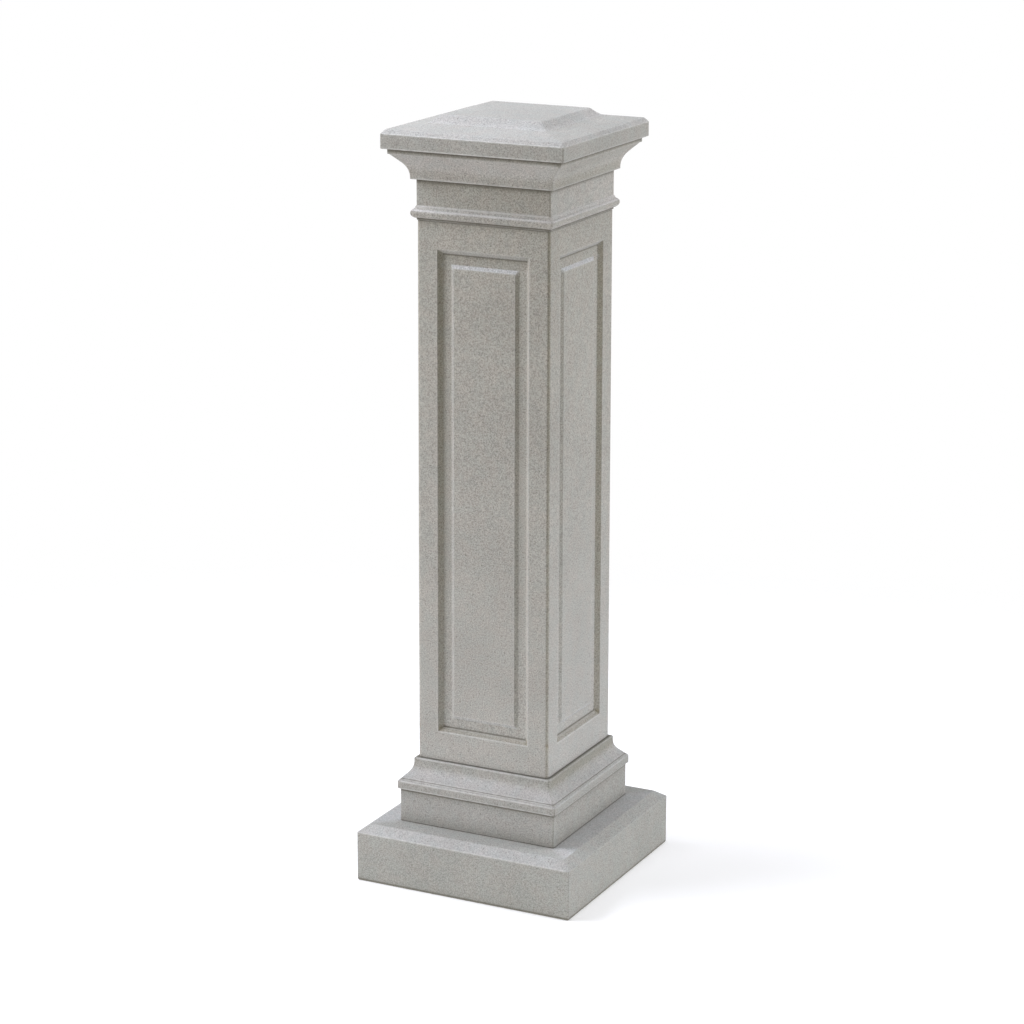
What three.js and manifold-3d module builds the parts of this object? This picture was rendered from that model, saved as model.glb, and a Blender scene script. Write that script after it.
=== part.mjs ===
// Gate pillar of grey cast stone, square in plan, in five castings that rest on flat beds.
// Millimetres, +Z up. The origin is the middle of the underside, and the front looks along -Y.

import * as THREE from 'three';
import { mergeVertices } from 'three/addons/utils/BufferGeometryUtils.js';
import Module from 'manifold-3d';

// Levels of the beds between the castings, counted from the ground
const PLINTH_TOP = 122.5;
const BASE_TOP = 261;
const SHAFT_TOP = 1396;
const CAPITAL_TOP = 1541.5;
const CAP_TOP = 1604.5;

// Plinth: upright sides, then a splay up to the flat top
const PLINTH_HALF = 246;
const PLINTH_SIDE_TOP = 107;
const PLINTH_TOP_HALF = 224.5;

// Base moulding: dado, rounded band, hollow and rounded shoulder
const DADO_HALF = 178.5;
const BAND_HALF = 183.2;
const BAND_BOTTOM = 192;
const BAND_TOP = 214.5;
const BAND_ROUND = 3;
const BASE_HOLLOW_RADIUS = 32;
const BASE_HOLLOW_FOOT_HALF = 177;
const BASE_HOLLOW_HEAD = 250;
const SHOULDER_HALF = 157.5;
const SHOULDER_ROUND = 5.5;

// Shaft: the mould's draft makes it a little narrower at the top
const SHAFT_HALF = 150;
const SHAFT_TOP_HALF = 147.8;

// Sunk panel on each side of the shaft, with a raised field inside it
const PANEL_SIDE_MARGIN = 46.2;
const PANEL_FOOT_MARGIN = 62;
const PANEL_HEAD_MARGIN = 56.5;
const PANEL_DEPTH = 10.5;
const PANEL_SPLAY = 9.3;
const FLOOR_SIDE_WIDTH = 17.5;
const FLOOR_END_WIDTH = 20.5;
const FIELD_RISE = 5;
const FIELD_BEVEL = 7.2;
const SIDES = 4;
const OVERCUT = 2;

// Capital: bead, plain neck, rounded lip, hollow and flat band
const NECK_HALF = 148.8;
const BEAD_HALF = 158.5;
const BEAD_RADIUS = 13;
const BEAD_LEVEL = 1411;
const LIP_HALF = 158.5;
const LIP_BOTTOM = 1476.5;
const LIP_ROUND = 4.5;
const CAPITAL_HOLLOW_RADIUS = 42;
const CAPITAL_HOLLOW_HEAD_HALF = 189;
const CAPITAL_BAND_HALF = 191.3;

// Cap: slab with rounded edges, then a swept slope up to a flat field
const SLAB_HALF = 201.3;
const SLAB_FOOT_ROUND = 3.5;
const SLAB_SIDE_TOP = 1571.5;
const SLAB_HEAD_ROUND = 8.5;
const FIELD_HALF = 110;
const STEEP_RUN = 12;
const STEEP_ANGLE = THREE.MathUtils.degToRad(40);
const SHALLOW_ANGLE = THREE.MathUtils.degToRad(9);
const SWEEP_RADIUS = 30;

const QUARTER = Math.PI / 2;
const EIGHTH = Math.PI / 4;

// Each arc of a profile becomes twice this many straight facets
const ARC_STEPS = 4;

const STONE = { roughness: 0.88, metalness: 0 };
const GREY = 0xa9a7a1;
const PALE_GREY = 0xb6b5b0;

const wasm = await Module();
wasm.setup();

// A solid of square plan. The profile gives half widths across and heights up, from the axis
// at the bottom bed to the axis at the top, and a four-sided lathe carries it round.
function squareTurned(profile) {
  const points = profile.getPoints(ARC_STEPS).map((p) => new THREE.Vector2(p.x * Math.SQRT2, p.y));
  const geometry = new THREE.LatheGeometry(points, SIDES, EIGHTH);
  geometry.rotateX(QUARTER);
  return geometry;
}

function plinthProfile() {
  const profile = new THREE.Path();
  profile.moveTo(0, 0);
  profile.lineTo(PLINTH_HALF, 0);
  profile.lineTo(PLINTH_HALF, PLINTH_SIDE_TOP);
  profile.lineTo(PLINTH_TOP_HALF, PLINTH_TOP);
  profile.lineTo(0, PLINTH_TOP);
  return profile;
}

function baseProfile() {
  const bandCentre = BAND_HALF - BAND_ROUND;
  const hollowCentre = SHOULDER_HALF + BASE_HOLLOW_RADIUS;
  const hollowEnd = hollowCentre - BASE_HOLLOW_RADIUS * Math.SQRT1_2;
  const hollowEndLevel = BASE_HOLLOW_HEAD - BASE_HOLLOW_RADIUS * Math.SQRT1_2;
  const slopeFoot = hollowEndLevel - (BASE_HOLLOW_FOOT_HALF - hollowEnd);
  const shoulderCentre = SHOULDER_HALF - SHOULDER_ROUND;
  const profile = new THREE.Path();
  profile.moveTo(0, PLINTH_TOP);
  profile.lineTo(DADO_HALF, PLINTH_TOP);
  profile.lineTo(DADO_HALF, BAND_BOTTOM);
  profile.absarc(bandCentre, BAND_BOTTOM + BAND_ROUND, BAND_ROUND, -QUARTER, 0, false);
  profile.absarc(bandCentre, BAND_TOP - BAND_ROUND, BAND_ROUND, 0, QUARTER, false);
  profile.lineTo(BASE_HOLLOW_FOOT_HALF, BAND_TOP);
  profile.lineTo(BASE_HOLLOW_FOOT_HALF, slopeFoot);
  profile.absarc(hollowCentre, BASE_HOLLOW_HEAD, BASE_HOLLOW_RADIUS, Math.PI + EIGHTH, Math.PI, true);
  profile.absarc(shoulderCentre, BASE_TOP - SHOULDER_ROUND, SHOULDER_ROUND, 0, QUARTER, false);
  profile.lineTo(0, BASE_TOP);
  return profile;
}

function capitalProfile() {
  const beadCentre = BEAD_HALF - BEAD_RADIUS;
  const beadAngle = Math.acos((NECK_HALF - beadCentre) / BEAD_RADIUS);
  const lipLevel = LIP_BOTTOM + LIP_ROUND;
  const hollowCentre = LIP_HALF + CAPITAL_HOLLOW_RADIUS;
  const hollowEnd = hollowCentre - CAPITAL_HOLLOW_RADIUS * Math.SQRT1_2;
  const hollowEndLevel = lipLevel + CAPITAL_HOLLOW_RADIUS * Math.SQRT1_2;
  const bandBottom = hollowEndLevel + CAPITAL_HOLLOW_HEAD_HALF - hollowEnd;
  const profile = new THREE.Path();
  profile.moveTo(0, SHAFT_TOP);
  profile.lineTo(NECK_HALF, SHAFT_TOP);
  profile.absarc(beadCentre, BEAD_LEVEL, BEAD_RADIUS, -beadAngle, beadAngle, false);
  profile.lineTo(NECK_HALF, LIP_BOTTOM);
  profile.absarc(LIP_HALF - LIP_ROUND, lipLevel, LIP_ROUND, -QUARTER, 0, false);
  profile.absarc(hollowCentre, lipLevel, CAPITAL_HOLLOW_RADIUS, Math.PI, Math.PI - EIGHTH, true);
  profile.lineTo(CAPITAL_HOLLOW_HEAD_HALF, bandBottom);
  profile.lineTo(CAPITAL_BAND_HALF, bandBottom);
  profile.lineTo(CAPITAL_BAND_HALF, CAPITAL_TOP);
  profile.lineTo(0, CAPITAL_TOP);
  return profile;
}

function capProfile() {
  const footCentre = SLAB_HALF - SLAB_FOOT_ROUND;
  const footLevel = CAPITAL_TOP + SLAB_FOOT_ROUND;
  const headCentre = SLAB_HALF - SLAB_HEAD_ROUND;
  const headAngle = QUARTER - SHALLOW_ANGLE;
  const steepFootHalf = FIELD_HALF + STEEP_RUN;
  const steepFoot = CAP_TOP - STEEP_RUN * Math.tan(STEEP_ANGLE);
  const sweepCentre = steepFootHalf + SWEEP_RADIUS * Math.sin(STEEP_ANGLE);
  const sweepLevel = steepFoot + SWEEP_RADIUS * Math.cos(STEEP_ANGLE);
  const sweepStart = 3 * QUARTER - SHALLOW_ANGLE;
  const sweepEnd = 3 * QUARTER - STEEP_ANGLE;
  const profile = new THREE.Path();
  profile.moveTo(0, CAPITAL_TOP);
  profile.lineTo(footCentre, CAPITAL_TOP);
  profile.absarc(footCentre, footLevel, SLAB_FOOT_ROUND, -QUARTER, 0, false);
  profile.absarc(headCentre, SLAB_SIDE_TOP, SLAB_HEAD_ROUND, 0, headAngle, false);
  profile.absarc(sweepCentre, sweepLevel, SWEEP_RADIUS, sweepStart, sweepEnd, true);
  profile.lineTo(FIELD_HALF, CAP_TOP);
  profile.lineTo(0, CAP_TOP);
  return profile;
}

// A block in the front face of the untapered shaft, from one depth under the face to another.
// The outline holds at the given depth, and each side moves in by lean for every further millimetre.
function blockInFace(outline, depth, lean, shallow, deep) {
  const height = outline.top - outline.bottom;
  const middle = (outline.top + outline.bottom) / 2;
  const geometry = new THREE.BoxGeometry(2 * outline.half, deep - shallow, height);
  geometry.translate(0, (shallow + deep) / 2 - SHAFT_HALF, middle);
  const at = geometry.attributes.position;
  for (let i = 0; i < at.count; i += 1) {
    const inset = lean * (at.getY(i) + SHAFT_HALF - depth);
    at.setX(i, at.getX(i) - Math.sign(at.getX(i)) * inset);
    at.setZ(i, at.getZ(i) - Math.sign(at.getZ(i) - middle) * inset);
  }
  return geometry;
}

function toSolid(geometry) {
  geometry.deleteAttribute('normal');
  geometry.deleteAttribute('uv');
  const merged = mergeVertices(geometry);
  const vertProperties = Float32Array.from(merged.attributes.position.array);
  const triVerts = Uint32Array.from(merged.index.array);
  return new wasm.Manifold(new wasm.Mesh({ numProp: 3, vertProperties, triVerts }));
}

function toGeometry(solid) {
  const { vertProperties, triVerts } = solid.getMesh();
  const geometry = new THREE.BufferGeometry();
  geometry.setAttribute('position', new THREE.BufferAttribute(Float32Array.from(vertProperties), 3));
  geometry.setIndex(new THREE.BufferAttribute(Uint32Array.from(triVerts), 1));
  return geometry;
}

// The draft: each level of the shaft is drawn in evenly towards the axis.
function taper(geometry) {
  const at = geometry.attributes.position;
  const topScale = SHAFT_TOP_HALF / SHAFT_HALF;
  for (let i = 0; i < at.count; i += 1) {
    const scale = THREE.MathUtils.mapLinear(at.getZ(i), BASE_TOP, SHAFT_TOP, 1, topScale);
    at.setXY(i, at.getX(i) * scale, at.getY(i) * scale);
  }
  return geometry;
}

function shaftGeometry() {
  const height = SHAFT_TOP - BASE_TOP;
  const die = new THREE.BoxGeometry(2 * SHAFT_HALF, 2 * SHAFT_HALF, height);
  die.translate(0, 0, BASE_TOP + height / 2);

  const opening = {
    half: SHAFT_HALF - PANEL_SIDE_MARGIN,
    bottom: BASE_TOP + PANEL_FOOT_MARGIN,
    top: SHAFT_TOP - PANEL_HEAD_MARGIN,
  };
  const fieldFoot = {
    half: opening.half - PANEL_SPLAY - FLOOR_SIDE_WIDTH,
    bottom: opening.bottom + PANEL_SPLAY + FLOOR_END_WIDTH,
    top: opening.top - PANEL_SPLAY - FLOOR_END_WIDTH,
  };

  let solid = toSolid(die);
  for (let side = 0; side < SIDES; side += 1) {
    const sinking = blockInFace(opening, 0, PANEL_SPLAY / PANEL_DEPTH, -OVERCUT, PANEL_DEPTH);
    sinking.rotateZ(side * QUARTER);
    solid = solid.subtract(toSolid(sinking));

    const fieldDepth = PANEL_DEPTH - FIELD_RISE;
    const lean = -FIELD_BEVEL / FIELD_RISE;
    const field = blockInFace(fieldFoot, PANEL_DEPTH, lean, fieldDepth, PANEL_DEPTH + OVERCUT);
    field.rotateZ(side * QUARTER);
    solid = solid.add(toSolid(field));
  }
  return taper(toGeometry(solid));
}

function casting(name, geometry, color) {
  geometry.computeVertexNormals();
  const mesh = new THREE.Mesh(geometry, new THREE.MeshStandardMaterial({ color, ...STONE }));
  mesh.name = name;
  return mesh;
}

const pillar = new THREE.Group();
pillar.add(casting('plinth', squareTurned(plinthProfile()), GREY));
pillar.add(casting('base_moulding', squareTurned(baseProfile()), GREY));
pillar.add(casting('shaft', shaftGeometry(), GREY));
pillar.add(casting('capital', squareTurned(capitalProfile()), GREY));
pillar.add(casting('cap', squareTurned(capProfile()), PALE_GREY));

export default pillar;
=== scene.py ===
"""The looks of a gate pillar: five castings of grey cast stone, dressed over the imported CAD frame.

Sizes of the castings are in millimetres, as in the part's source, and each mesh is scaled to metres
when it is finished. Sizes of the finishes and the studio are in metres.
"""

import logging
import math
from collections.abc import Callable, Iterable, Sequence
from dataclasses import dataclass
from enum import Enum

import bmesh
import bpy
from mathutils import Matrix, Vector, kdtree, noise

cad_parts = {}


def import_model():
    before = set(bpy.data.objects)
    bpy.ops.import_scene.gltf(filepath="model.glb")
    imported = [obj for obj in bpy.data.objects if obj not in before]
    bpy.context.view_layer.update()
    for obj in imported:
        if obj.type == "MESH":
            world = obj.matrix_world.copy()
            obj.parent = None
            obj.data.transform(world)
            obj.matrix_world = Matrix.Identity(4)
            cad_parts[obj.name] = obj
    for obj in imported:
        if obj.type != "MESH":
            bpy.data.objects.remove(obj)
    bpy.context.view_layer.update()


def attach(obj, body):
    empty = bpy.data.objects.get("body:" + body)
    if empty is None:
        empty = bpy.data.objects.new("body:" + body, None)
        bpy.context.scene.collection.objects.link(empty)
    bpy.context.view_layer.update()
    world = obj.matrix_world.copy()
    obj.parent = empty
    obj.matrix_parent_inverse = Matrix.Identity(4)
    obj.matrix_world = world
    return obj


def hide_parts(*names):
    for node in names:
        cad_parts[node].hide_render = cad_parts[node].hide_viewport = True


LOG = logging.getLogger("gate_pillar")

Mesh = bmesh.types.BMesh
Socket = bpy.types.NodeSocket
Colour = tuple[float, float, float]

# The two ends of a range
Range = tuple[float, float]

# What a node's inputs take, by their names or places
Inputs = dict[str | int, object]

# A value for the front and back of a casting, and one for its left and right
Sides = tuple[float, float]

MM = 0.001
BODY = "root"

# Levels of the beds from the ground up, and half widths where one casting stands on another
BEDS = (0.0, 122.5, 259.4, 1396.0, 1541.5, 1604.5)
DADO_HALF = 178.5
SHAFT_HALF = 150.0
CORNICE_HALF = 191.3

# Mesh grid: longest step along a straight run, finer steps beside a turn, turn of one facet,
# where the first cut from a casting's corner lies, and the facets round that corner
PITCH = 6.0
BESIDE_TURN = (0.9, 2.2, 3.4)
FACET = math.radians(22.5)
CORNER_CLEAR = 8.0
CORNER_STEPS = 4

# Points this close are one, lie on a bed, or are caught by a cut
WELD = 0.01
ON_BED = 0.02
SNAP = 0.6

# An edge that turns more than the first is an arris, and more than the second is shaded sharp
ARRIS_TURN = math.radians(14.0)
SHARP_TURN = math.radians(50.0)

# How much of an upright arris's rounding has its own tone, a stain with painted shade, how far from it
# wear and painted highlight are held back, and to what share
ARRIS_SHARE = 0.97
NEAR_ARRIS = 1.5
ARRIS_WEAR_AND_HIGHLIGHT = 0.1

# How far from a corner the values of two sides run into each other
SIDE_BLEND = 20.0

# How far below an overhanging edge the painted shadow line lies that shows under it
SHADOW_UNDER_EDGE = 2.6

# Distance between the points that stand for a joint
JOINT_STEP = 1.0

# A point of the shaft this far behind its face belongs to the panel
SUNK = 0.2

# Parts of a noise's range that are stretched out, from the widest to the narrowest, and what onto
NEARLY_ALL = (0.2, 0.8)
MOST = (0.25, 0.75)
MIDDLE = (0.35, 0.65)
UNIT = (0.0, 1.0)

# Sockets of a colour mix node: its share, its two colours and its result
MIX_INPUTS = (0, 6, 7)
MIX_RESULT = 2


class Trace(Enum):
    """What weather and handling leave on the stone, and the light and shade painted on it, each kept as a
    number on the vertices.
    """

    # Worn arrises, and highlights painted along them
    WEAR_AND_HIGHLIGHT = "wear"
    # Dirt in the joints, and shade painted in creases, beside joints and under overhangs
    GRIME_AND_SHADE = "grime_and_shade"
    # The stone's tone, with light and shade painted by side, by slope and by height
    TONE_AND_LIGHT = "tone"


def between(first: float, second: float, share: float) -> float:
    """The value that lies this share of the way from the first to the second."""
    return first + (second - first) * share


def ease(value: float, low: float, high: float) -> float:
    """Climbs smoothly from 0 at the low value to 1 at the high one."""
    share = min(1.0, max(0.0, (value - low) / (high - low)))
    return share * share * (3 - 2 * share)


def near(distance: float, reach: float) -> float:
    """1 at no distance, falling off smoothly over the reach."""
    return math.exp(-((distance / reach) ** 2))


def nearest(places: Iterable[Vector]) -> kdtree.KDTree:
    """Puts points into a tree.

    Args:
        places: The points in millimetres.

    Returns:
        A tree that finds the nearest of those points.
    """
    listed = list(places)
    found = kdtree.KDTree(len(listed))
    for i, place in enumerate(listed):
        found.insert(place, i)
    found.balance()
    return found


def direction(azimuth: float, elevation: float) -> Vector:
    """The unit vector towards an azimuth from the front to the right and an elevation, in degrees."""
    a, e = math.radians(azimuth), math.radians(elevation)
    return Vector((math.sin(a) * math.cos(e), -math.cos(a) * math.cos(e), math.sin(e)))


@dataclass(frozen=True)
class Corner:
    """A turn of a moulding's outline: half width, level and rounding."""

    half: float
    level: float
    rounding: float = 0.0

    @property
    def at(self) -> Vector:
        """The corner's place in the plane of the outline."""
        return Vector((self.half, self.level))


def rounded(before: Corner, corner: Corner, after: Corner) -> list[Vector]:
    """Replaces a corner of an outline by an arc that meets both of its sides.

    Args:
        before: The corner on the outline before it.
        corner: The corner that is rounded.
        after: The corner on the outline after it.

    Returns:
        The points of the arc, or the corner itself where it has no rounding.
    """
    if not corner.rounding:
        return [corner.at]
    back = (before.at - corner.at).normalized()
    ahead = (after.at - corner.at).normalized()
    turn = math.pi - back.angle(ahead)
    start = corner.at + back * corner.rounding * math.tan(turn / 2)
    centre = corner.at + (back + ahead).normalized() * corner.rounding / math.cos(turn / 2)
    hand = math.copysign(1.0, back.cross(ahead))
    steps = math.ceil(max(turn / FACET, turn * corner.rounding / PITCH, 2))
    spoke = start - centre
    return [centre + Matrix.Rotation(-hand * turn * i / steps, 2) @ spoke for i in range(steps + 1)]


def outline(corners: Sequence[Corner]) -> list[Vector]:
    """Draws a moulding's outline with its corners rounded and its long runs divided.

    Args:
        corners: The outline's corners from the lower bed to the upper one.

    Returns:
        Points (half width, level) no further apart than the mesh pitch.
    """
    path = [corners[0].at]
    for before, corner, after in zip(corners, corners[1:], corners[2:]):
        path += rounded(before, corner, after)
    path.append(corners[-1].at)
    points = [path[0]]
    for start, end in zip(path, path[1:]):
        length = (end - start).length
        beside = [gap for gap in BESIDE_TURN if 2 * gap < length]
        marks = [0.0, *beside, *(length - gap for gap in reversed(beside)), length]
        for low, high in zip(marks, marks[1:]):
            steps = math.ceil((high - low) / PITCH)
            shares = [(low + (high - low) * i / steps) / length for i in range(1, steps + 1)]
            points += [start.lerp(end, share) for share in shares]
    return points


@dataclass(frozen=True)
class Weathering:
    """How uneven the stone is, how far wear with painted highlights and dirt with painted shade reach from
    an arris, a joint or an overhang, and how much lighter slopes are painted.
    """

    uneven: float = 0.25
    uneven_size: float = 30.0
    chip: float = 0.5
    chip_size: float = 12.0
    chip_from: float = 0.2
    # Wear with painted highlights reaches this far from an arris, and dirt with painted shade this far from
    # a joint or an overhang
    wear_and_highlight_reach: float = 1.5
    grime_and_shade_reach: float = 2.2
    # A wider, fainter darkening beside the joints, partly dust and partly painted shade
    dust: float = 0.12
    dust_and_shade_reach: float = 8.0
    # A pale band on slopes beside the joints, partly rubbing and partly painted highlight
    rub: float = 0.8
    rub_at: float = 2.2
    rub_tilts: Range = (0.35, 0.95)
    # Painted light: slopes between these tilts are painted lighter, by these shares facing up and facing
    # down
    painted_light_from: Range = (0.18, 0.5)
    painted_light_to: Range = (0.9, 0.98)
    painted_light_up: float = 0.13
    painted_light_down: float = 0.14

    def painted_light(self, tilt: float) -> float:
        """How much lighter a slope is painted, facing up or facing down, by the upward part of its normal.
        """
        sloped = ease(abs(tilt), *self.painted_light_from) * (1 - ease(abs(tilt), *self.painted_light_to))
        return 1 + sloped * (self.painted_light_up if tilt > 0 else self.painted_light_down)

    def trace(
        self,
        bm: Mesh,
        rings: Iterable[Vector],
        tone: Callable[[Vector], float],
        wear_and_highlight_at: Callable[[Vector], float],
    ) -> None:
        """Writes wear with painted highlights near the arrises, dirt with painted shade near the joints,
        creases and overhangs, and the stone's tone with its painted light and shade on the vertices.

        Args:
            bm: The casting's mesh in millimetres.
            rings: Points of the joints, where dirt gathers, and of the creases and overhangs, where shade
                is painted.
            tone: How light the stone is painted at a place, around 1.
            wear_and_highlight_at: How much of the usual wear and painted highlight shows at a place, from 0
                to 1.
        """
        wear = bm.verts.layers.float.new(Trace.WEAR_AND_HIGHLIGHT.value)
        grime_and_shade = bm.verts.layers.float.new(Trace.GRIME_AND_SHADE.value)
        shade = bm.verts.layers.float.new(Trace.TONE_AND_LIGHT.value)
        sharp = [e for e in bm.edges if e.calc_face_angle_signed(0.0) > ARRIS_TURN]
        arrises = nearest(v.co.copy() for v in {v for e in sharp for v in e.verts})
        joints = nearest(rings)
        for v in bm.verts:
            off_arris = arrises.find(v.co)[2]
            off_joint = joints.find(v.co)[2]
            on_slope = self.rub_tilts[0] < v.normal.z < self.rub_tilts[1]
            rubbed = self.rub * near(off_joint - self.rub_at, self.wear_and_highlight_reach) if on_slope else 0.0
            worn = max(rubbed, near(off_arris, self.wear_and_highlight_reach))
            # Dirt at the joints, and painted shade at creases and under overhangs
            soil_and_shade = near(off_joint, self.grime_and_shade_reach)
            v[wear] = wear_and_highlight_at(v.co) * worn * (1 - soil_and_shade)
            v[grime_and_shade] = max(soil_and_shade, self.dust * math.exp(-off_joint / self.dust_and_shade_reach))
            # The tone with its painted light and shade, and slopes painted lighter
            v[shade] = tone(v.co) * self.painted_light(v.normal.z)

    def erode(self, bm: Mesh, beds: tuple[float, float]) -> None:
        """Takes a little stone off the faces, and more at a few spots of the arrises.

        Args:
            bm: The casting's mesh in millimetres, with its traces written.
            beds: The levels of the flat beds, which stay as they are.
        """
        wear = bm.verts.layers.float[Trace.WEAR_AND_HIGHLIGHT.value]
        bm.normal_update()
        moves = []
        for v in bm.verts:
            if min(abs(v.co.z - level) for level in beds) < ON_BED:
                continue
            uneven = 0.5 + 0.5 * noise.noise(v.co / self.uneven_size)
            chipped = max(0.0, noise.noise(v.co / self.chip_size) - self.chip_from) * v[wear]
            moves.append((v, v.normal * (self.uneven * uneven + self.chip * chipped)))
        for v, move in moves:
            v.co -= move


@dataclass(frozen=True)
class Speckle:
    """A soft random pattern: size of its patches, finer layers added, and how strong each is."""

    size: float
    detail: float
    rough: float

    def inputs(self) -> dict[str, float]:
        """What a noise node takes to draw it."""
        return {"Scale": 1 / self.size, "Detail": self.detail, "Roughness": self.rough}


class NodeGraph:
    """The nodes of a material or a world, added one by one and joined as they are made."""

    def __init__(self, tree: bpy.types.NodeTree, output: str = "OutputMaterial") -> None:
        """Empties the tree and gives it an output.

        Args:
            tree: The node tree.
            output: The kind of its output.
        """
        self.tree = tree
        tree.nodes.clear()
        self.output = self.add(output)

    def add(self, kind: str, inputs: Inputs | None = None, **settings: str) -> bpy.types.Node:
        """Adds a node.

        Args:
            kind: Blender's name for it, after the words that all of them share.
            inputs: A socket, a number, a vector or a colour for each input, by name or place.
            **settings: The node's own choices, such as its operation.

        Returns:
            The node.
        """
        node = self.tree.nodes.new("ShaderNode" + kind)
        for name, choice in settings.items():
            setattr(node, name, choice)
        for key, value in (inputs or {}).items():
            if isinstance(value, Socket):
                self.tree.links.new(value, node.inputs[key])
            else:
                node.inputs[key].default_value = (*value, 1.0) if isinstance(value, tuple) else value
        return node

    def show(self, shader: bpy.types.Node) -> None:
        """Joins a shader to the output."""
        self.tree.links.new(shader.outputs[0], self.output.inputs["Surface"])

    def place(self, offset: Vector) -> Socket:
        """Object coordinates, moved so that each casting has its own grain."""
        source = self.add("TexCoord").outputs["Object"]
        return self.add("Mapping", {"Vector": source, "Location": offset}).outputs["Vector"]

    def noise(self, place: Socket, speckle: Speckle) -> Socket:
        """Soft random patches, from 0 to 1."""
        return self.add("TexNoise", {"Vector": place, **speckle.inputs()}).outputs["Fac"]

    def cells(self, place: Socket, size: float) -> Socket:
        """Distance from scattered points that lie about this far apart, in cells."""
        return self.add("TexVoronoi", {"Vector": place, "Scale": 1 / size}).outputs["Distance"]

    def trace(self, trace: Trace) -> Socket:
        """The number on the vertices for weather, or for painted light and shade."""
        return self.add("Attribute", attribute_name=trace.value).outputs["Fac"]

    def span(self, value: Socket, source: Range, target: Range, even: bool = False) -> Socket:
        """Maps one range of a value onto another.

        Args:
            value: The value.
            source: The range that is mapped.
            target: What it becomes.
            even: Whether it climbs evenly instead of smoothly.

        Returns:
            The mapped value, held at its ends.
        """
        ends = zip(("From Min", "From Max", "To Min", "To Max"), (*source, *target))
        climb = "LINEAR" if even else "SMOOTHSTEP"
        node = self.add("MapRange", {"Value": value, **dict(ends)}, interpolation_type=climb)
        return node.outputs["Result"]

    def product(self, first: Socket, second: object) -> Socket:
        """Multiplies two values."""
        return self.add("Math", {0: first, 1: second}, operation="MULTIPLY").outputs["Value"]

    def total(self, first: Socket, *others: Socket) -> Socket:
        """Adds values up.

        Args:
            first: The first value.
            *others: The values that are added to it.

        Returns:
            The sum.
        """
        for other in others:
            first = self.add("Math", {0: first, 1: other}, operation="ADD").outputs["Value"]
        return first

    def mix(self, share: object, first: object, second: object, blend: str = "MIX") -> Socket:
        """Mixes two colours or their sockets, by the share of the second that shows."""
        inputs = dict(zip(MIX_INPUTS, (share, first, second)))
        return self.add("Mix", inputs, data_type="RGBA", blend_type=blend).outputs[MIX_RESULT]

    def multiply(self, colour: Socket, tone: Socket) -> Socket:
        """Makes a colour lighter or darker by a value or a colour around 1."""
        return self.mix(1.0, colour, tone, "MULTIPLY")

    def bump(self, height: Socket, depth: float, strength: float) -> Socket:
        """The normal of a relief, by the depth in metres of a height of 1 and how much of it shows."""
        inputs = {"Height": height, "Distance": depth, "Strength": strength}
        return self.add("Bump", inputs).outputs["Normal"]


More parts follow.
